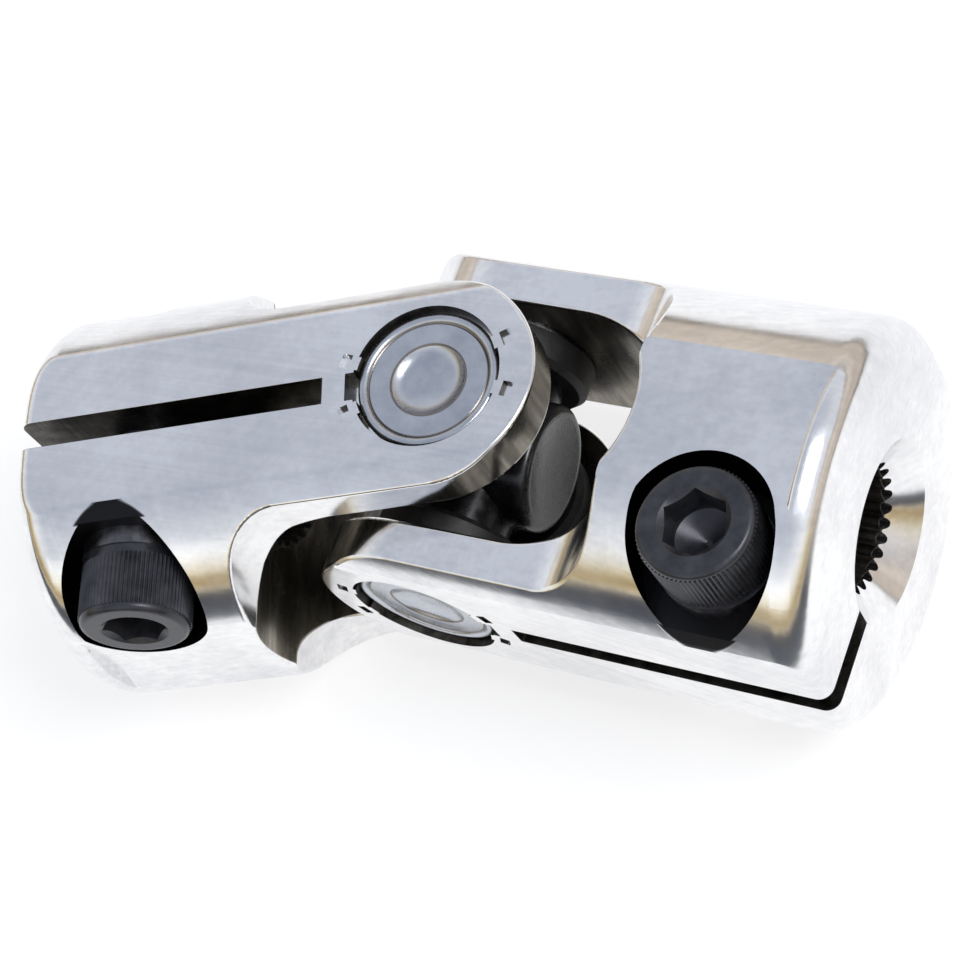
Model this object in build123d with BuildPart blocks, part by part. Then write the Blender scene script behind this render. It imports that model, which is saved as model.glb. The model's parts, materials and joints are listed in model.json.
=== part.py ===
from build123d import *
from math import cos, sin, radians, pi
import os

os.makedirs("parts", exist_ok=True)

# Universal joint for a steering shaft: two identical clamp yokes at right angles, joined by a
# forged cross that turns in four staked needle-bearing cups. The origin is on the axis of the
# left bore, where its splines begin inside the lead-in cone, and the left shaft leaves along -X.
# The left yoke's bearing axis is along +Z; the right yoke points towards +X, swung and lifted
# by the joint angles.

# ---- driving dimensions, millimetres and degrees ----
swing_angle = 20.5         # right yoke swung about the left bearing axis
lift_angle = 3.0           # right yoke lifted about its own bearing axis

hub_radius = 28.0          # turned bar the yokes are cut from
yoke_length = 61.5         # joint centre to the open end of the bore
end_round = 5.0            # turned rounding of the open end
side_flat = 25.2           # bearing axis flats, distance from the shaft axis
screw_flat = 26.0          # flat around the clamp screw, distance from the shaft axis
collar_start = 57.0        # the screw flat stops here and leaves a round collar

ear_half_width = 15.5      # ears, also the radius of their round tips
ear_inner = 17.5           # half of the fork gap
gap_centre = 15.0          # centre of the round bottom of the fork gap
shoulder_start = 31.0      # where the hub starts behind the ears
shoulder_radius = 9.0      # hollow between ear and hub
flat_edge_round = 2.0      # polished edges
collar_edge_round = 0.8
front_edge_round = 0.6

bore_root_radius = 9.15    # bottom of the serration grooves
bore_tip_radius = 8.4      # crests of the serration teeth
spline_teeth = 26
groove_share = 0.84         # groove width at the crests, as a part of the tooth pitch
mouth_radius = 12.5        # 45 degree lead-in at the bore mouth
slit_width = 4.0
slit_start = 15.0          # closed end of the clamping slit

screw_along = 46.5         # clamp screw, distance from the joint centre
screw_aside = 13.8         # clamp screw, distance from the shaft axis
pocket_radius = 10.1
pocket_stretch = 1.2       # the pocket is a short slot that runs out through the side
pocket_floor = 14.4
screw_radius = 5.0         # M10
head_radius = 8.0
head_height = 10.0
head_core_radius = 7.75    # head under the knurling
knurl_teeth = 80
knurl_size = 0.32
screw_length = 35.0
hex_across_flats = 8.0
washer_thick = 2.5
washer_bore_radius = 5.25
socket_depth = 5.0

cup_radius = 10.15
cup_mouth = 14.9           # open end of the cup, distance from the joint centre
cup_bead_face = 24.3       # rounded outer bead of the cup face
cup_bead_inner = 8.75
cup_ring_face = 23.85      # flat ring between the bead and the dimple
cup_dimple_radius = 5.35
cup_dimple_depth = 0.8
cup_dimple_floor = 0.8      # radius of the flat middle of the dimple
cup_inner_radius = 8.35
cup_inner_bottom = 22.0
seat_radius = 10.6         # wider mouth of the bearing hole around the cup
seat_depth = 2.2
stake_step = 19            # stakes sit in pairs, this many degrees either side of the shaft axis

trunnion_radius = 6.25
trunnion_end = 20.95
root_radius = 7.5
root_end = 12.5
boss_radius = 9.3
boss_reach = 11.2
boss_round = 1.2
boss_dish_radius = 30.0    # the boss faces are dished
boss_dish_depth = 1.0
needle_radius = 1.0
needle_count = 22
needle_circle = 7.3
needle_from = 15.4
needle_to = 20.8
pad_radius = 7.9
pad_from = 21.0
pad_to = 21.95
seal_radius = 10.8
seal_from = 12.6
seal_to = 17.2

# ---- frames: x runs along the shaft away from the joint, y towards the clamp screw head,
# ---- z along the bearing axis on the side of the slit ----
swing = radians(swing_angle)
lift = radians(lift_angle)
mouth_depth = mouth_radius - bore_tip_radius
joint_centre = Vector(yoke_length - mouth_depth, 0, 0)   # both bearing axes cross here
left_frame = Plane(origin=joint_centre, x_dir=(-1, 0, 0), z_dir=(0, 0, 1))
right_frame = Plane(
    origin=joint_centre,
    x_dir=(cos(lift) * cos(swing), -cos(lift) * sin(swing), sin(lift)),
    z_dir=(-sin(swing), -cos(swing), 0),
)


def place(frame, along, head, side):
    """World point from distances along the shaft, towards the screw head and to the side."""
    return frame.from_local_coords(Vector(along, head, side))


def across(frame, along):
    """Plane square to the shaft: sketch x towards the screw head, sketch y to the slit side."""
    return Plane(origin=place(frame, along, 0, 0), x_dir=frame.y_dir, z_dir=frame.x_dir)


def facing_side(frame, side):
    """Plane square to the bearing axis: sketch x along the shaft, sketch y to the screw head."""
    return Plane(origin=place(frame, 0, 0, side), x_dir=frame.x_dir, z_dir=frame.z_dir)


def facing_head(frame, height):
    """Plane square to the clamp screw: sketch x to the slit side, sketch y along the shaft."""
    return Plane(origin=place(frame, 0, height, 0), x_dir=frame.z_dir, z_dir=frame.y_dir)


def lathe_plane(frame, direction):
    """Half plane for turned bearing pieces: sketch x is the radius, sketch y points outwards."""
    outward = frame.z_dir * direction
    radial = frame.x_dir
    return Plane(origin=frame.origin, x_dir=radial, z_dir=radial.cross(outward))


def collar_edges(part, frame):
    """Rims of the step where the screw flat ends at the round collar."""
    rims = []
    for edge in part.edges():
        spot = frame.to_local_coords(edge.center())
        if abs(spot.X - collar_start) < 0.3 and spot.Y > screw_flat + 0.5:
            rims.append(edge)
    return rims


def front_edges(part, frame):
    """Sharp edges of the ears and shoulders, without the seams where faces meet smoothly."""
    sharp = []
    for edge in part.edges():
        spot = frame.to_local_coords(edge.center())
        straight = edge.geom_type == GeomType.LINE
        seam = straight and abs(edge.tangent_at(0.5).dot(frame.z_dir)) > 0.99
        gap_seam = straight and abs(spot.X - gap_centre) < 0.1
        flat_border = straight and edge.length > 20 and abs(spot.Y) < ear_half_width - 1
        if spot.X < shoulder_start + 3 and not (seam or gap_seam or flat_border):
            sharp.append(edge)
    return sharp


def make_yoke(frame, name):
    """Clamp yoke cut from round bar."""
    with BuildPart() as yoke:
        # turned blank with a rounded open end
        with BuildSketch(facing_side(frame, 0)):
            with BuildLine():
                Line((-ear_half_width, 0), (yoke_length, 0))
                Line((yoke_length, 0), (yoke_length, hub_radius - end_round))
                RadiusArc(
                    (yoke_length, hub_radius - end_round),
                    (yoke_length - end_round, hub_radius),
                    -end_round,
                )
                Line((yoke_length - end_round, hub_radius), (-ear_half_width, hub_radius))
                Line((-ear_half_width, hub_radius), (-ear_half_width, 0))
            make_face()
        revolve(axis=Axis(frame.origin, frame.x_dir), revolution_arc=360)

        # flats on both bearing faces, full length
        for side in (1, -1):
            with BuildSketch(across(frame, yoke_length + 1)):
                with Locations((0, side * (side_flat + 10))):
                    Rectangle(2 * hub_radius + 10, 20)
            extrude(amount=-(yoke_length + ear_half_width + 5), mode=Mode.SUBTRACT)

        # flat around the clamp screw, stopping short of the collar
        with BuildSketch(across(frame, collar_start)):
            with Locations((screw_flat + 10, 0)):
                Rectangle(20, 2 * hub_radius + 10)
        extrude(amount=-(collar_start + ear_half_width + 5), mode=Mode.SUBTRACT)

        # ears narrower than the hub, round tips, hollow shoulders
        corner = shoulder_radius * (1 - cos(radians(45)))
        reach = shoulder_start - shoulder_radius
        rise = ear_half_width + shoulder_radius
        with BuildSketch(facing_side(frame, 0)):
            with BuildLine():
                Line((0, ear_half_width), (reach, ear_half_width))
                ThreePointArc(
                    (reach, ear_half_width),
                    (shoulder_start - corner, ear_half_width + corner),
                    (shoulder_start, rise),
                )
                Line((shoulder_start, rise), (shoulder_start, hub_radius + 3))
                Line((shoulder_start, hub_radius + 3), (yoke_length + 3, hub_radius + 3))
                Line((yoke_length + 3, hub_radius + 3), (yoke_length + 3, -hub_radius - 3))
                Line((yoke_length + 3, -hub_radius - 3), (shoulder_start, -hub_radius - 3))
                Line((shoulder_start, -hub_radius - 3), (shoulder_start, -rise))
                ThreePointArc(
                    (shoulder_start, -rise),
                    (shoulder_start - corner, -ear_half_width - corner),
                    (reach, -ear_half_width),
                )
                Line((reach, -ear_half_width), (0, -ear_half_width))
                ThreePointArc((0, -ear_half_width), (-ear_half_width, 0), (0, ear_half_width))
            make_face()
        extrude(amount=hub_radius + 5, both=True, mode=Mode.INTERSECT)

        # fork gap with a round bottom
        with BuildSketch(facing_head(frame, 0)):
            with Locations((0, gap_centre / 2 - 15)):
                Rectangle(2 * ear_inner, gap_centre + 30)
            with Locations((0, gap_centre)):
                Circle(ear_inner)
        extrude(amount=hub_radius + 5, both=True, mode=Mode.SUBTRACT)

        # polished edges
        fillet(collar_edges(yoke.part, frame), collar_edge_round)
        flat_borders = yoke.edges().filter_by(Axis(frame.origin, frame.x_dir))
        fillet([edge for edge in flat_borders if edge.length > 60], flat_edge_round)
        fillet(front_edges(yoke.part, frame), front_edge_round)

        # splined bore
        half_groove = groove_share * pi * bore_tip_radius / spline_teeth
        groove_depth = bore_root_radius - bore_tip_radius
        with BuildSketch(across(frame, yoke_length + 0.5)):
            Circle(bore_tip_radius)
            with PolarLocations(0, spline_teeth):
                Polygon(
                    (bore_tip_radius - groove_depth, -half_groove),
                    (bore_tip_radius, -half_groove),
                    (bore_root_radius - 0.4 * groove_depth, -0.72 * half_groove),
                    (bore_root_radius - 0.08 * groove_depth, -0.42 * half_groove),
                    (bore_root_radius, -0.15 * half_groove),
                    (bore_root_radius, 0.15 * half_groove),
                    (bore_root_radius - 0.08 * groove_depth, 0.42 * half_groove),
                    (bore_root_radius - 0.4 * groove_depth, 0.72 * half_groove),
                    (bore_tip_radius, half_groove),
                    (bore_tip_radius - groove_depth, half_groove),
                    align=(Align.NONE, Align.NONE),
                )
        extrude(amount=-(yoke_length - gap_centre), mode=Mode.SUBTRACT)

        # lead-in cone at the bore mouth
        with BuildSketch(across(frame, yoke_length)):
            Circle(mouth_radius)
        extrude(amount=-mouth_depth, taper=45, mode=Mode.SUBTRACT)

        # clamping slit from the bore out through one bearing face
        with BuildSketch(facing_side(frame, 0)):
            with Locations(((slit_start + yoke_length + 3) / 2, 0)):
                RectangleRounded(yoke_length + 3 - slit_start, slit_width, 0.5)
        extrude(amount=hub_radius + 2, mode=Mode.SUBTRACT)

        # pocket, clearance hole and tapped hole for the clamp screw
        with BuildSketch(facing_head(frame, pocket_floor)):
            with Locations((screw_aside + pocket_stretch / 2, screw_along)):
                SlotCenterToCenter(pocket_stretch, 2 * pocket_radius)
        extrude(amount=20, mode=Mode.SUBTRACT)
        with BuildSketch(facing_head(frame, pocket_floor + 1)):
            with Locations((screw_aside, screw_along)):
                Circle(screw_radius + 0.25)
        extrude(amount=-(pocket_floor + 1), mode=Mode.SUBTRACT)
        with BuildSketch(facing_head(frame, 0)):
            with Locations((screw_aside, screw_along)):
                Circle(screw_radius + 0.05)
        extrude(amount=-(hub_radius + 2), mode=Mode.SUBTRACT)

        # bearing holes with a wider mouth and four staked lips
        for side in (1, -1):
            with BuildSketch(facing_side(frame, side * ear_inner - side * 2)):
                Circle(cup_radius)
            extrude(amount=side * 20, mode=Mode.SUBTRACT)
            with BuildSketch(facing_side(frame, side * (side_flat + 1))):
                Circle(seat_radius)
                for turn in (0, 180):
                    for step in (-stake_step, stake_step):
                        angle = radians(turn + step)
                        with Locations(
                            Location((10.3 * cos(angle), 10.3 * sin(angle)), turn + step)
                        ):
                            Rectangle(1.5, 2.0, mode=Mode.SUBTRACT)
                # relief between the two stakes on the hub side
                with Locations((11.0, 0)):
                    Rectangle(1.2, 4.2)
            extrude(amount=-side * (seat_depth + 1), mode=Mode.SUBTRACT)
            # punch marks behind the lips
            with BuildSketch(facing_side(frame, side * (side_flat + 1))):
                for turn in (0, 180):
                    for step in (-stake_step, stake_step):
                        angle = radians(turn + step)
                        with Locations(
                            Location((12.2 * cos(angle), 12.2 * sin(angle)), turn + step)
                        ):
                            Rectangle(1.5, 2.2)
            extrude(amount=-side * 1.8, mode=Mode.SUBTRACT)
    yoke.part.label = name
    return yoke.part


def make_cup(frame, direction, name):
    """Drawn bearing cup with a raised ring and a round dimple in its closed face."""
    plane = lathe_plane(frame, direction)
    with BuildPart() as cup:
        with BuildSketch(plane):
            with BuildLine():
                Polyline(
                    (0, cup_inner_bottom),
                    (cup_inner_radius - 0.3, cup_inner_bottom),
                    (cup_inner_radius, cup_inner_bottom - 0.3),
                    (cup_inner_radius, cup_mouth),
                    (cup_radius - 0.3, cup_mouth),
                    (cup_radius, cup_mouth + 0.3),
                    (cup_radius, cup_bead_face - 0.6),
                )
                ThreePointArc(
                    (cup_radius, cup_bead_face - 0.6),
                    ((cup_radius + cup_bead_inner) / 2, cup_bead_face),
                    (cup_bead_inner, cup_ring_face),
                )
                Polyline(
                    (cup_bead_inner, cup_ring_face),
                    (cup_bead_inner - 0.15, cup_ring_face - 0.12),
                    (cup_bead_inner - 0.3, cup_ring_face),
                    (cup_dimple_radius + 0.1, cup_ring_face),
                    (cup_dimple_radius, cup_ring_face - 0.12),
                )
                ThreePointArc(
                    (cup_dimple_radius, cup_ring_face - 0.12),
                    (cup_dimple_radius * 0.65, cup_ring_face - 0.75 * cup_dimple_depth),
                    (cup_dimple_floor, cup_ring_face - cup_dimple_depth),
                )
                Polyline(
                    (cup_dimple_floor, cup_ring_face - cup_dimple_depth),
                    (0, cup_ring_face - cup_dimple_depth),
                    (0, cup_inner_bottom),
                )
            make_face()
        revolve(axis=Axis(plane.origin, plane.y_dir), revolution_arc=360)
    cup.part.label = name
    return cup.part


def make_needles(frame, direction, name):
    """Full ring of needle rollers."""
    base = Plane(
        origin=place(frame, 0, 0, direction * needle_from),
        x_dir=frame.x_dir,
        z_dir=frame.z_dir * direction,
    )
    with BuildPart() as needles:
        with BuildSketch(base):
            with PolarLocations(needle_circle, needle_count):
                Circle(needle_radius)
        extrude(amount=needle_to - needle_from)
    needles.part.label = name
    return needles.part


def make_pad(frame, direction, name):
    """Thrust pad between the end of the trunnion and the bottom of the cup."""
    base = Plane(
        origin=place(frame, 0, 0, direction * pad_from),
        x_dir=frame.x_dir,
        z_dir=frame.z_dir * direction,
    )
    with BuildPart() as pad:
        with BuildSketch(base):
            Circle(pad_radius)
            Circle(1.5, mode=Mode.SUBTRACT)
        extrude(amount=pad_to - pad_from)
    pad.part.label = name
    return pad.part


def make_seal(frame, direction, name):
    """Dust seal capping the open end of the cup."""
    plane = lathe_plane(frame, direction)
    with BuildPart() as seal:
        with BuildSketch(plane):
            with BuildLine():
                Polyline(
                    (6.6, seal_from + 0.5),
                    (7.0, seal_from),
                    (seal_radius - 0.9, seal_from),
                    (seal_radius, seal_from + 0.9),
                    (seal_radius, seal_to),
                    (cup_radius + 0.02, seal_to),
                    (cup_radius + 0.02, cup_mouth - 0.02),
                    (6.6, cup_mouth - 0.02),
                    close=True,
                )
            make_face()
        revolve(axis=Axis(plane.origin, plane.y_dir), revolution_arc=360)
    seal.part.label = name
    return seal.part


def make_screw(frame, name):
    """M10 socket head cap screw with a knurled head."""
    seat = pocket_floor + washer_thick
    centre = (screw_aside, screw_along)
    with BuildPart() as screw:
        # shank and plain band under the head
        with BuildSketch(facing_head(frame, seat)):
            with Locations(centre):
                Circle(screw_radius)
        extrude(amount=-(screw_length - 0.8))
        with BuildSketch(facing_head(frame, seat - screw_length + 0.8)):
            with Locations(centre):
                Circle(screw_radius)
        extrude(amount=-0.8, taper=45)
        with BuildSketch(facing_head(frame, seat)):
            with Locations(centre):
                Circle(head_core_radius)
        extrude(amount=head_height)
        # rounded outer edge of the head
        rim = screw.edges().filter_by(GeomType.CIRCLE).sort_by(Axis(frame.origin, frame.y_dir))
        fillet(rim[-1], 0.9)
        # knurling
        with BuildSketch(facing_head(frame, seat + 1.3)):
            with Locations(centre):
                Circle(head_core_radius)
                with PolarLocations(head_core_radius, knurl_teeth):
                    Rectangle(knurl_size, knurl_size, rotation=45)
        extrude(amount=head_height - 2.4)
        # hexagon socket with a drilled floor and a lead-in
        with BuildSketch(facing_head(frame, seat + head_height)):
            with Locations(centre):
                RegularPolygon(hex_across_flats / 2, 6, major_radius=False, rotation=17)
        extrude(amount=-socket_depth, mode=Mode.SUBTRACT)
        with BuildSketch(facing_head(frame, seat + head_height - socket_depth)):
            with Locations(centre):
                Circle(hex_across_flats / 2 - 0.02)
        extrude(amount=-1.9, taper=62, mode=Mode.SUBTRACT)
        with BuildSketch(facing_head(frame, seat + head_height)):
            with Locations(centre):
                Circle(hex_across_flats / 2 + 0.85)
        extrude(amount=-0.7, taper=50, mode=Mode.SUBTRACT)
    screw.part.label = name
    return screw.part


def make_washer(frame, name):
    """Split spring lock washer, squeezed flat."""
    with BuildPart() as washer:
        with BuildSketch(facing_head(frame, pocket_floor)):
            with Locations((screw_aside, screw_along)):
                Circle(head_radius)
                Circle(washer_bore_radius, mode=Mode.SUBTRACT)
        extrude(amount=washer_thick)
        # slanted split on the open side of the pocket
        with BuildSketch(across(frame, screw_along - 6)):
            with BuildLine():
                Polyline(
                    (pocket_floor - 0.5, screw_aside + 1.0),
                    (pocket_floor - 0.5, screw_aside + 2.0),
                    (pocket_floor + washer_thick + 0.5, screw_aside + 4.4),
                    (pocket_floor + washer_thick + 0.5, screw_aside + 3.4),
                    close=True,
                )
            make_face()
        extrude(amount=-6, mode=Mode.SUBTRACT)
    washer.part.label = name
    return washer.part


def make_cross():
    """Forged cross with four ground trunnions and a dished round boss front and back."""
    axis_a = left_frame.z_dir
    axis_b = right_frame.z_dir
    front = axis_b.cross(axis_a)
    with BuildPart() as cross:
        # round forged body with a dished boss facing each shaft
        with BuildSketch(Plane(origin=joint_centre, x_dir=axis_a, z_dir=front)):
            Circle(boss_radius)
        extrude(amount=boss_reach, both=True)
        fillet(cross.edges().filter_by(GeomType.CIRCLE), boss_round)
        for way in (1, -1):
            middle = joint_centre + front * way * (boss_reach - boss_dish_depth + boss_dish_radius)
            with Locations(middle):
                Sphere(boss_dish_radius, mode=Mode.SUBTRACT)
        for axis in (axis_a, axis_b):
            # forged root and ground trunnion, right through the body
            for radius, reach in ((root_radius, root_end), (trunnion_radius, trunnion_end)):
                with BuildSketch(Plane(origin=joint_centre, x_dir=front, z_dir=axis)):
                    Circle(radius)
                extrude(amount=reach, both=True)
    cross.part.label = "bearing_cross"
    return cross.part


yokes = (("left", left_frame), ("right", right_frame))
sides = {
    "left": (("upper", 1), ("lower", -1)),
    "right": (("front", 1), ("rear", -1)),
}

for yoke_name, frame in yokes:
    export_step(make_yoke(frame, "yoke_" + yoke_name), "parts/yoke_" + yoke_name + ".step")
    screw_name = "clamp_screw_" + yoke_name
    export_step(make_screw(frame, screw_name), "parts/" + screw_name + ".step")
    washer_name = "lock_washer_" + yoke_name
    export_step(make_washer(frame, washer_name), "parts/" + washer_name + ".step")
    for side_name, direction in sides[yoke_name]:
        tail = yoke_name + "_" + side_name
        export_step(make_cup(frame, direction, "bearing_cup_" + tail),
                    "parts/bearing_cup_" + tail + ".step")
        export_step(make_needles(frame, direction, "needle_rollers_" + tail),
                    "parts/needle_rollers_" + tail + ".step")
        export_step(make_pad(frame, direction, "thrust_pad_" + tail),
                    "parts/thrust_pad_" + tail + ".step")
        export_step(make_seal(frame, direction, "bearing_seal_" + tail),
                    "parts/bearing_seal_" + tail + ".step")

export_step(make_cross(), "parts/bearing_cross.step")
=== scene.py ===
"""Looks of a polished steel universal joint with black cap screws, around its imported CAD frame."""

import json
import math

import bpy
from mathutils import Matrix, Vector


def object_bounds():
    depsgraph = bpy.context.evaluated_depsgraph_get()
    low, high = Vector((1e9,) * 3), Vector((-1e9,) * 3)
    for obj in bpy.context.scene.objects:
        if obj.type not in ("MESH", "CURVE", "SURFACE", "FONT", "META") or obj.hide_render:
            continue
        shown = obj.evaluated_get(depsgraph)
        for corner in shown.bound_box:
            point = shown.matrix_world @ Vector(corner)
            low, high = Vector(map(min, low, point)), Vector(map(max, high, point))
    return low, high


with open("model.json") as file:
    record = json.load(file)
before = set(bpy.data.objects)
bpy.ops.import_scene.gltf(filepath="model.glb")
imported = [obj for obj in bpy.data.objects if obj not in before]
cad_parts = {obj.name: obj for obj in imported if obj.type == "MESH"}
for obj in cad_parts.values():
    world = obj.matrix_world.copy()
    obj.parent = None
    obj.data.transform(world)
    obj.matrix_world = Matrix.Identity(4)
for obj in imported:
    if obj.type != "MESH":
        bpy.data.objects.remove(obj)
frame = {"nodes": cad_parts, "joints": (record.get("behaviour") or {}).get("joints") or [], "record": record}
cad_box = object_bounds()
MM = 0.001
nodes = frame["nodes"]
joints = {joint["name"]: joint for joint in frame["joints"]}
joint_centre = Vector(joints["left_bearing"]["pos_m"])
mounts = {mount["name"]: mount for mount in frame["record"]["mounts"]}

# places on a yoke that bound its finishes and its painted shade, in millimetres from the joint centre and
# the shaft axis
FORK_CENTRE, FORK_RADIUS = 15.0, 17.62
SLIT_HALF_WIDTH, SLIT_START, SLIT_INNER, SLIT_OUTER = 2.04, 14.9, 8.0, 25.4
BORE_RADIUS, BORE_START, CONE_SUM = 9.25, 20.0, 65.7
POCKET_ALONG, POCKET_ASIDE, POCKET_RADIUS = 46.5, 14.4, 10.95
POCKET_FROM, POCKET_FLOOR = 12.0, 14.6
SEAT_RADIUS, SEAT_FROM = 12.6, 21.0
# a cup's two rings of painted shade along its turned grooves (radius, half width), and its dimple, in
# millimetres
CUP_SHADE_RINGS = ((8.6, 0.17), (5.4, 0.15))
DIMPLE_FLOOR, DIMPLE_EDGE, DIMPLE_DEPTH = 3.6, 5.25, 0.5
# where the wear on the cross's bosses begins and is full, in millimetres from the joint centre
BOSS_FROM, BOSS_TO = 9.0, 10.4
# heights of the fine bumps, in metres
SCRATCH_DEPTH, WAVE_DEPTH, TOOL_DEPTH, GRAIN_DEPTH = 0.00003, 0.0008, 0.00008, 0.00003


def colour_ramp(tree, factor, stops):
    """Colour ramp from (position, grey or colour) stops."""
    node = tree.nodes.new("ShaderNodeValToRGB")
    tree.links.new(factor, node.inputs[0])
    elements = node.color_ramp.elements
    while len(elements) < len(stops):
        elements.new(0.5)
    for element, (position, value) in zip(elements, stops):
        element.position = position
        colour = value if isinstance(value, tuple) else (value, value, value)
        element.color = (*colour, 1.0)
    return node.outputs[0]


# ---- small helpers for shader nodes ----
class Shader:
    """A node material that is built up with short calls."""

    def __init__(self, name):
        self.material = bpy.data.materials.new(name)
        self.material.use_nodes = True
        self.tree = self.material.node_tree
        self.bsdf = self.tree.nodes["Principled BSDF"]
        coordinates = self.tree.nodes.new("ShaderNodeTexCoord")
        self.place = coordinates.outputs["Object"]
        self.normal = coordinates.outputs["Normal"]

    def link(self, source, target):
        self.tree.links.new(source, target)

    def add(self, kind, **inputs):
        node = self.tree.nodes.new(kind)
        for name, value in inputs.items():
            socket = node.inputs[name.replace("_", " ")]
            if isinstance(value, bpy.types.NodeSocket):
                self.link(value, socket)
            else:
                socket.default_value = value
        return node

    def vector(self, operation, first, second):
        node = self.tree.nodes.new("ShaderNodeVectorMath")
        node.operation = operation
        for socket, value in zip(node.inputs, (first, second)):
            if isinstance(value, bpy.types.NodeSocket):
                self.link(value, socket)
            else:
                socket.default_value = value
        return node.outputs["Value"] if operation == "DOT_PRODUCT" else node.outputs["Vector"]

    def dot(self, socket, direction):
        return self.vector("DOT_PRODUCT", socket, tuple(direction))

    def combine(self, x, y, z):
        return self.add("ShaderNodeCombineXYZ", X=x, Y=y, Z=z).outputs[0]

    def stretched(self, scale, turn=(0, 0, 0), place=None):
        """Coordinates turned, then scaled, so that a texture comes out as streaks."""
        turned = self.add("ShaderNodeMapping", Vector=place or self.place, Rotation=turn)
        return self.add("ShaderNodeMapping", Vector=turned.outputs[0], Scale=scale).outputs[0]

    def noise(self, vector, scale, detail=3.0, roughness=0.55):
        node = self.add("ShaderNodeTexNoise", Vector=vector, Scale=scale, Detail=detail,
                        Roughness=roughness)
        return node.outputs["Fac"]

    def ramp(self, factor, stops):
        return colour_ramp(self.tree, factor, stops)

    def remap(self, value, low, high, to_low, to_high):
        node = self.add("ShaderNodeMapRange", Value=value)
        node.inputs["From Min"].default_value = low
        node.inputs["From Max"].default_value = high
        node.inputs["To Min"].default_value = to_low
        node.inputs["To Max"].default_value = to_high
        return node.outputs[0]

    def math(self, operation, first, second):
        node = self.tree.nodes.new("ShaderNodeMath")
        node.operation = operation
        for socket, value in zip(node.inputs, (first, second)):
            if isinstance(value, bpy.types.NodeSocket):
                self.link(value, socket)
            else:
                socket.default_value = value
        return node.outputs[0]

    def mix(self, factor, first, second):
        node = self.tree.nodes.new("ShaderNodeMix")
        node.data_type = "RGBA"
        for socket, value in zip((node.inputs[0], node.inputs[6], node.inputs[7]),
                                 (factor, first, second)):
            if isinstance(value, bpy.types.NodeSocket):
                self.link(value, socket)
            elif isinstance(value, tuple):
                socket.default_value = (*value, 1.0)
            else:
                socket.default_value = value
        return node.outputs[2]

    def bump(self, height, strength, distance, normal=None):
        node = self.add("ShaderNodeBump", Height=height, Strength=strength, Distance=distance)
        if normal is not None:
            self.link(normal, node.inputs["Normal"])
        return node.outputs[0]


class YokeSpace:
    """Masks in a yoke's own directions: along its shaft, to the screw head, to the slit side."""

    def __init__(self, shader, along, head, side):
        self.shader = shader
        offset = shader.vector("SUBTRACT", shader.place, tuple(joint_centre))
        normal = shader.normal
        self.along = shader.dot(offset, along)
        self.head = shader.dot(offset, head)
        self.side = shader.dot(offset, side)
        self.facing_head = shader.dot(normal, head)
        self.facing_side = shader.dot(normal, side)
        self.vector = shader.combine(self.along, self.head, self.side)

    def below(self, value, limit, soft=0.2):
        """1 where value is under limit (millimetres), fading out over soft millimetres."""
        return self.shader.remap(value, (limit - soft) * MM, (limit + soft) * MM, 1.0, 0.0)

    def near(self, value, limit, soft=0.2):
        return self.below(self.shader.math("ABSOLUTE", value, 0.0), limit, soft)

    def both(self, *masks):
        product = masks[0]
        for mask in masks[1:]:
            product = self.shader.math("MULTIPLY", product, mask)
        return product

    def radius(self, first, second):
        square = self.shader.math("ADD", self.shader.math("MULTIPLY", first, first),
                                  self.shader.math("MULTIPLY", second, second))
        return self.shader.math("SQRT", square, 0.0)


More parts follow.
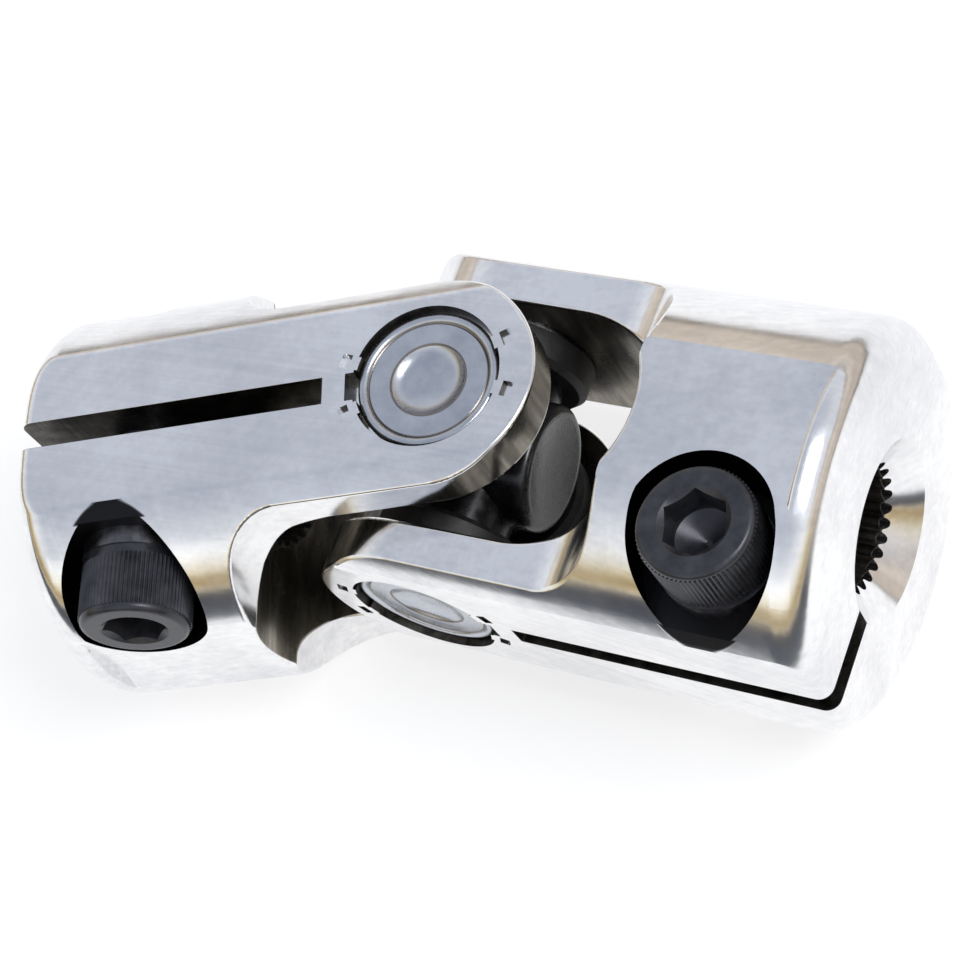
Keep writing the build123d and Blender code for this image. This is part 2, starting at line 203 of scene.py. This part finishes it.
def polished_steel(name, along, head, side):
    """Bright scratched steel outside; the fork is painted darker with brown streaks (stain on the milling,
    painted shade and painted reflection), and the recesses are painted dark as shade.
    """
    s = Shader(name)
    yoke = YokeSpace(s, along, head, side)

    # masks for the recesses that are painted dark as shade, and for the fork, painted darker with brown
    # streaks
    facing_head = s.math("ABSOLUTE", yoke.facing_head, 0.0)
    facing_side = s.math("ABSOLUTE", yoke.facing_side, 0.0)
    from_axis = yoke.radius(yoke.head, yoke.side)
    past_centre = s.math("MAXIMUM", s.math("SUBTRACT", yoke.along, FORK_CENTRE * MM), 0.0)
    fork = yoke.both(yoke.below(yoke.radius(past_centre, yoke.side), FORK_RADIUS, 0.05),
                     s.remap(facing_head, 0.25, 0.45, 1.0, 0.0))
    slit = yoke.both(yoke.near(yoke.head, SLIT_HALF_WIDTH, 0.02),
                     yoke.below(yoke.side, SLIT_OUTER, 0.1),
                     s.math("GREATER_THAN", yoke.side, SLIT_INNER * MM),
                     s.math("GREATER_THAN", yoke.along, SLIT_START * MM))
    bore = yoke.both(yoke.below(from_axis, BORE_RADIUS, 0.05),
                     s.math("GREATER_THAN", yoke.along, BORE_START * MM),
                     yoke.below(s.math("ADD", yoke.along, from_axis), CONE_SUM, 0.15))
    from_screw = yoke.radius(s.math("SUBTRACT", yoke.along, POCKET_ALONG * MM),
                             s.math("SUBTRACT", yoke.side, POCKET_ASIDE * MM))
    pocket = yoke.both(yoke.below(from_screw, POCKET_RADIUS, 0.1),
                       s.math("GREATER_THAN", yoke.head, POCKET_FROM * MM),
                       s.math("MAXIMUM", s.remap(facing_head, 0.05, 0.12, 1.0, 0.0),
                              yoke.below(yoke.head, POCKET_FLOOR, 0.1)))
    seat = yoke.both(yoke.below(yoke.radius(yoke.along, yoke.head), SEAT_RADIUS, 0.1),
                     s.remap(facing_side, 0.3, 0.6, 1.0, 0.0),
                     s.math("GREATER_THAN", s.math("ABSOLUTE", yoke.side, 0.0), SEAT_FROM * MM))
    dark = s.math("MAXIMUM", s.math("MAXIMUM", slit, bore), s.math("MAXIMUM", pocket, seat))

    # polishing scratches run many ways; the milled faces keep tool lines
    height = None
    for turn, across, share in (((0, 0, 0.30), 1500, 0.5), ((0, 0, -0.75), 1100, 0.3),
                                ((0.5, 0.3, 1.35), 1300, 0.3), ((0.2, -0.4, 0.1), 900, 0.3)):
        streaks = s.noise(s.stretched((30, across, across * 0.7), turn, yoke.vector), 1.0, 2.0)
        streaks = s.math("MULTIPLY", streaks, share)
        height = streaks if height is None else s.math("ADD", height, streaks)
    waves = s.noise(s.place, 70.0, 2.0)
    scratched = s.bump(height, 0.22, SCRATCH_DEPTH)
    rolled = s.bump(waves, 0.09, WAVE_DEPTH, scratched)
    tool_lines = s.noise(s.stretched((1600, 60, 60), (0, 0, 0), yoke.vector), 1.0, 3.0)
    tooled = s.math("MULTIPLY", tool_lines, s.math("MAXIMUM", dark, fork))
    milled = s.bump(tooled, 0.5, TOOL_DEPTH, rolled)
    s.link(milled, s.bsdf.inputs["Normal"])

    smudge = s.noise(s.place, 60.0, 4.0, 0.6)
    polish = s.remap(smudge, 0.3, 0.75, 0.10, 0.22)
    rough = s.math("ADD", polish, s.math("MULTIPLY", dark, 0.25))
    s.link(s.math("ADD", rough, s.math("MULTIPLY", fork, 0.12)), s.bsdf.inputs["Roughness"])
    tone = s.math("ADD", s.math("MULTIPLY", s.noise(s.place, 45.0, 4.0, 0.65), 0.6),
                  s.math("MULTIPLY", height, 0.34))
    bright = s.ramp(tone, ((0.36, (0.66, 0.67, 0.69)), (0.50, (0.79, 0.79, 0.80)),
                           (0.62, (0.91, 0.91, 0.91))))
    # painted shade for the slit, bore, screw pockets and cup seats: mottled near black
    recess_shade = s.ramp(s.noise(s.place, 380.0, 4.0, 0.6),
                   ((0.35, (0.030, 0.028, 0.026)), (0.72, (0.15, 0.14, 0.12))))
    # fork: stain on the milling, painted darker as shade, with brown streaks that are painted reflections
    fork_streaks = s.noise(s.stretched((260, 40, 260), (0, 0, 0), yoke.vector), 1.0, 4.0, 0.6)
    fork_stain_shade_and_sheen = s.ramp(fork_streaks, ((0.30, (0.055, 0.050, 0.045)), (0.52, (0.26, 0.235, 0.19)),
                              (0.74, (0.60, 0.57, 0.50))))
    # recesses take the painted shade; the fork takes its stain with painted shade and painted reflection
    # streaks
    steel_colour = s.mix(dark, s.mix(fork, bright, fork_stain_shade_and_sheen), recess_shade)
    # the screw pockets are painted near black: painted shade
    s.link(s.mix(pocket, steel_colour, (0.022, 0.022, 0.024)), s.bsdf.inputs["Base Color"])
    s.bsdf.inputs["Metallic"].default_value = 1.0
    return s.material


def black_oxide():
    """Oiled black oxide on the screws."""
    s = Shader("black_oxide")
    grain = s.noise(s.place, 2600.0, 3.0)
    s.link(s.bump(grain, 0.12, GRAIN_DEPTH), s.bsdf.inputs["Normal"])
    wear = s.noise(s.place, 420.0, 4.0)
    s.link(s.ramp(wear, ((0.35, (0.036, 0.037, 0.044)), (0.75, (0.066, 0.068, 0.078)))),
           s.bsdf.inputs["Base Color"])
    s.link(s.remap(wear, 0.3, 0.7, 0.24, 0.40), s.bsdf.inputs["Roughness"])
    s.bsdf.inputs["Metallic"].default_value = 0.55
    return s.material


def forged_black(front):
    """Phosphated forging with an oily film, worn brighter on the dished bosses."""
    s = Shader("forged_black")
    grain = s.noise(s.place, 700.0, 3.0, 0.5)
    s.link(s.bump(grain, 0.08, 0.0001), s.bsdf.inputs["Normal"])
    offset = s.vector("SUBTRACT", s.place, tuple(joint_centre))
    reach = s.math("ABSOLUTE", s.dot(offset, front), 0.0)
    boss = s.remap(reach, BOSS_FROM * MM, BOSS_TO * MM, 0.0, 0.8)
    black = s.ramp(grain, ((0.35, (0.020, 0.020, 0.022)), (0.75, (0.046, 0.046, 0.050))))
    worn = s.ramp(grain, ((0.30, (0.070, 0.072, 0.074)), (0.75, (0.115, 0.117, 0.117))))
    s.link(s.mix(boss, black, worn), s.bsdf.inputs["Base Color"])
    s.link(s.remap(grain, 0.3, 0.7, 0.22, 0.34), s.bsdf.inputs["Roughness"])
    s.bsdf.inputs["Metallic"].default_value = 0.8
    return s.material


def cup_zinc(name, axis):
    """Satin drawn steel of the bearing cups, with brown painted shade along the two turned grooves."""
    s = Shader(name)
    offset = s.vector("SUBTRACT", s.place, tuple(joint_centre))
    along = s.dot(offset, axis)
    square = s.math("SUBTRACT", s.vector("DOT_PRODUCT", offset, offset),
                    s.math("MULTIPLY", along, along))
    radius = s.math("SQRT", square, 0.0)
    groove_shade = None
    for middle, half in CUP_SHADE_RINGS:
        gap = s.math("ABSOLUTE", s.math("SUBTRACT", radius, middle * MM), 0.0)
        line = s.remap(gap, half * MM * 0.6, half * MM * 1.4, 1.0, 0.0)
        groove_shade = line if groove_shade is None else s.math("MAXIMUM", groove_shade, line)
    grain = s.noise(s.place, 1800.0, 3.0)
    cloud = s.noise(s.place, 240.0, 4.0, 0.6)
    dimple = s.remap(radius, DIMPLE_FLOOR * MM, DIMPLE_EDGE * MM, 0.0, 1.0)
    dimple = s.math("MULTIPLY", dimple, dimple)
    pressed = s.bump(dimple, 1.0, DIMPLE_DEPTH * MM)
    s.link(s.bump(grain, 0.16, GRAIN_DEPTH, pressed), s.bsdf.inputs["Normal"])
    cup_tone = s.ramp(cloud, ((0.3, (0.44, 0.47, 0.52)), (0.7, (0.58, 0.60, 0.64))))
    # brown painted shade along the two groove rings
    s.link(s.mix(s.math("MULTIPLY", groove_shade, 0.75), cup_tone, (0.13, 0.095, 0.065)),
           s.bsdf.inputs["Base Color"])
    s.link(s.remap(cloud, 0.3, 0.7, 0.22, 0.33), s.bsdf.inputs["Roughness"])
    s.bsdf.inputs["Metallic"].default_value = 1.0
    return s.material


def simple(name, low, high, metallic, rough, scale=700.0, bump=0.1):
    """A plain material with fine grain and cloudy colour."""
    s = Shader(name)
    grain = s.noise(s.place, scale, 3.0)
    s.link(s.bump(grain, bump, 0.00005), s.bsdf.inputs["Normal"])
    s.link(s.ramp(grain, ((0.3, low), (0.7, high))), s.bsdf.inputs["Base Color"])
    s.link(s.remap(grain, 0.3, 0.7, rough - 0.05, rough + 0.08), s.bsdf.inputs["Roughness"])
    s.bsdf.inputs["Metallic"].default_value = metallic
    return s.material


def yoke_directions(mount_name, bearing):
    """Shaft, screw head and slit directions of a yoke, from its bore mount and its bearing."""
    along = Vector(mounts[mount_name]["axis"]).normalized()
    side = Vector(joints[bearing]["axis"]).normalized()
    return along, side.cross(along), side


steel = {
    "yoke_left": polished_steel("steel_left", *yoke_directions("left_bore", "left_bearing")),
    "yoke_right": polished_steel("steel_right", *yoke_directions("right_bore", "right_bearing")),
}
oxide = black_oxide()
bearing_axes = {side: Vector(joints[side + "_bearing"]["axis"]) for side in ("left", "right")}
forged = forged_black(bearing_axes["left"].cross(bearing_axes["right"]).normalized())
zinc = {"bearing_cup_" + side: cup_zinc("cup_" + side, axis)
        for side, axis in bearing_axes.items()}
rubber = simple("seal_rubber", (0.010, 0.010, 0.010), (0.025, 0.025, 0.025), 0.0, 0.5)
nylon = simple("pad_nylon", (0.62, 0.58, 0.48), (0.72, 0.69, 0.60), 0.0, 0.45)
roller = simple("roller_steel", (0.66, 0.66, 0.68), (0.76, 0.76, 0.77), 1.0, 0.12)
spring = simple("washer_steel", (0.10, 0.10, 0.11), (0.20, 0.20, 0.21), 1.0, 0.35)
finish = {
    **steel, "clamp": oxide, "bearing_cross": forged, **zinc,
    "bearing_seal": rubber, "thrust": nylon, "needle": roller, "lock": spring,
}
for node_name, node in nodes.items():
    material = next(m for start, m in finish.items() if node_name.startswith(start))
    node.data.materials.clear()
    node.data.materials.append(material)
    for polygon in node.data.polygons:
        polygon.use_smooth = True
    node.data.set_sharp_from_angle(angle=math.radians(30))


# ---- floor, light and camera ----
def make_floor(height):
    """Pale sheet whose near edge is close enough to mirror as a dark band in the hubs."""
    left, near, right, far = -2.5, -0.145, 2.5, 3.0
    mesh = bpy.data.meshes.new("floor")
    corners = [(x, y, height) for x, y in ((left, near), (right, near), (right, far), (left, far))]
    mesh.from_pydata(corners, [], [(0, 1, 2, 3)])
    floor = bpy.data.objects.new("floor", mesh)
    bpy.context.scene.collection.objects.link(floor)
    material = bpy.data.materials.new("floor_white")
    material.use_nodes = True
    bsdf = material.node_tree.nodes["Principled BSDF"]
    bsdf.inputs["Base Color"].default_value = (0.45, 0.45, 0.45, 1.0)
    bsdf.inputs["Roughness"].default_value = 0.9
    bsdf.inputs["Emission Color"].default_value = (1.0, 1.0, 1.0, 1.0)
    bsdf.inputs["Emission Strength"].default_value = 0.62
    floor.data.materials.append(material)


def area_light(name, place, target, size, energy):
    """Rectangular lamp that faces target."""
    data = bpy.data.lights.new(name, "AREA")
    data.shape = "RECTANGLE"
    data.size, data.size_y = size
    data.energy = energy
    light = bpy.data.objects.new(name, data)
    bpy.context.scene.collection.objects.link(light)
    light.location = place
    light.rotation_euler = (Vector(target) - Vector(place)).to_track_quat("-Z", "Y").to_euler()


def make_world():
    """Sky that the steel mirrors: dark ground, a warm horizon and haze under lavender grey."""
    world = bpy.data.worlds.new("studio")
    bpy.context.scene.world = world
    world.use_nodes = True
    tree = world.node_tree
    background = tree.nodes["Background"]
    direction = tree.nodes.new("ShaderNodeTexCoord").outputs["Generated"]
    split = tree.nodes.new("ShaderNodeSeparateXYZ")
    tree.links.new(direction, split.inputs[0])
    patches = tree.nodes.new("ShaderNodeTexNoise")
    patches.inputs["Scale"].default_value = 2.3
    patches.inputs["Detail"].default_value = 3.0
    tree.links.new(direction, patches.inputs["Vector"])
    shift = tree.nodes.new("ShaderNodeMapRange")
    shift.inputs["From Min"].default_value = 0.3
    shift.inputs["From Max"].default_value = 0.7
    shift.inputs["To Min"].default_value = 0.175
    shift.inputs["To Max"].default_value = 0.225
    tree.links.new(patches.outputs["Fac"], shift.inputs["Value"])
    height = tree.nodes.new("ShaderNodeMath")
    height.operation = "MULTIPLY_ADD"
    tree.links.new(split.outputs["Z"], height.inputs[0])
    height.inputs[1].default_value = 0.8
    tree.links.new(shift.outputs[0], height.inputs[2])
    near_side = (
        (0.000, (0.10, 0.11, 0.13)), (0.200, (0.06, 0.065, 0.08)), (0.235, (0.12, 0.12, 0.14)),
        (0.262, (0.78, 0.70, 0.52)), (0.285, (0.50, 0.38, 0.20)), (0.330, (0.36, 0.25, 0.11)),
        (0.400, (0.60, 0.50, 0.30)), (0.460, (0.80, 0.76, 0.64)), (0.570, (0.90, 0.91, 0.93)),
        (0.680, (0.74, 0.77, 0.83)), (0.820, (0.54, 0.58, 0.66)), (1.000, (0.48, 0.51, 0.60)))
    far_side = (
        (0.000, (0.75, 0.73, 0.70)), (0.190, (0.70, 0.66, 0.62)), (0.210, (0.05, 0.045, 0.04)),
        (0.240, (0.42, 0.36, 0.30)), (0.270, (0.68, 0.59, 0.50)), (0.370, (0.58, 0.50, 0.43)),
        (0.470, (0.80, 0.72, 0.64)), (0.510, (0.36, 0.31, 0.27)), (0.540, (0.80, 0.82, 0.88)),
        (0.700, (0.68, 0.71, 0.78)), (0.820, (0.55, 0.59, 0.67)), (1.000, (0.48, 0.51, 0.60)))
    near_colour = colour_ramp(tree, height.outputs[0], near_side)
    far_colour = colour_ramp(tree, height.outputs[0], far_side)
    side = tree.nodes.new("ShaderNodeVectorMath")
    side.operation = "DOT_PRODUCT"
    side.inputs[1].default_value = (0.5, 0.87, 0.0)
    tree.links.new(direction, side.inputs[0])
    turn = tree.nodes.new("ShaderNodeMapRange")
    turn.inputs["From Min"].default_value = -0.15
    turn.inputs["From Max"].default_value = 0.25
    tree.links.new(side.outputs["Value"], turn.inputs["Value"])
    blend = tree.nodes.new("ShaderNodeMix")
    blend.data_type = "RGBA"
    tree.links.new(turn.outputs[0], blend.inputs[0])
    tree.links.new(near_colour, blend.inputs[6])
    tree.links.new(far_colour, blend.inputs[7])
    # the backdrop itself is plain and pale; only the steel sees the sky above
    path = tree.nodes.new("ShaderNodeLightPath")
    backdrop = tree.nodes.new("ShaderNodeMix")
    backdrop.data_type = "RGBA"
    backdrop.inputs[7].default_value = (1.0, 1.0, 1.0, 1.0)
    tree.links.new(path.outputs["Is Camera Ray"], backdrop.inputs[0])
    tree.links.new(blend.outputs[2], backdrop.inputs[6])
    tree.links.new(backdrop.outputs[2], background.inputs["Color"])
    background.inputs["Strength"].default_value = 1.05


def make_camera():
    """Camera above the near side, rolled as the picture is."""
    right = Vector((0.94621, 0.01167, -0.32334))
    up = Vector((0.13249, 0.89775, 0.42012))
    back = right.cross(up)
    place = joint_centre + (-0.719 * MM) * right + (-3.462 * MM) * up + (345.806 * MM) * back
    data = bpy.data.cameras.new("camera")
    data.sensor_width = 36.0
    data.lens = 90.58
    data.clip_start = 0.01
    camera = bpy.data.objects.new("camera", data)
    bpy.context.scene.collection.objects.link(camera)
    turn = Matrix((right, up, back)).transposed().to_4x4()
    camera.matrix_world = Matrix.Translation(place) @ turn
    bpy.context.scene.camera = camera


make_floor(cad_box[0][2])
make_world()
area_light("key", (0.75, -0.15, 0.95), joint_centre, (0.5, 0.5), 6.0)
area_light("front", (-0.2, -1.0, 0.45), joint_centre, (1.2, 0.35), 0.3)
make_camera()
bpy.context.scene.view_settings.view_transform = "Standard"
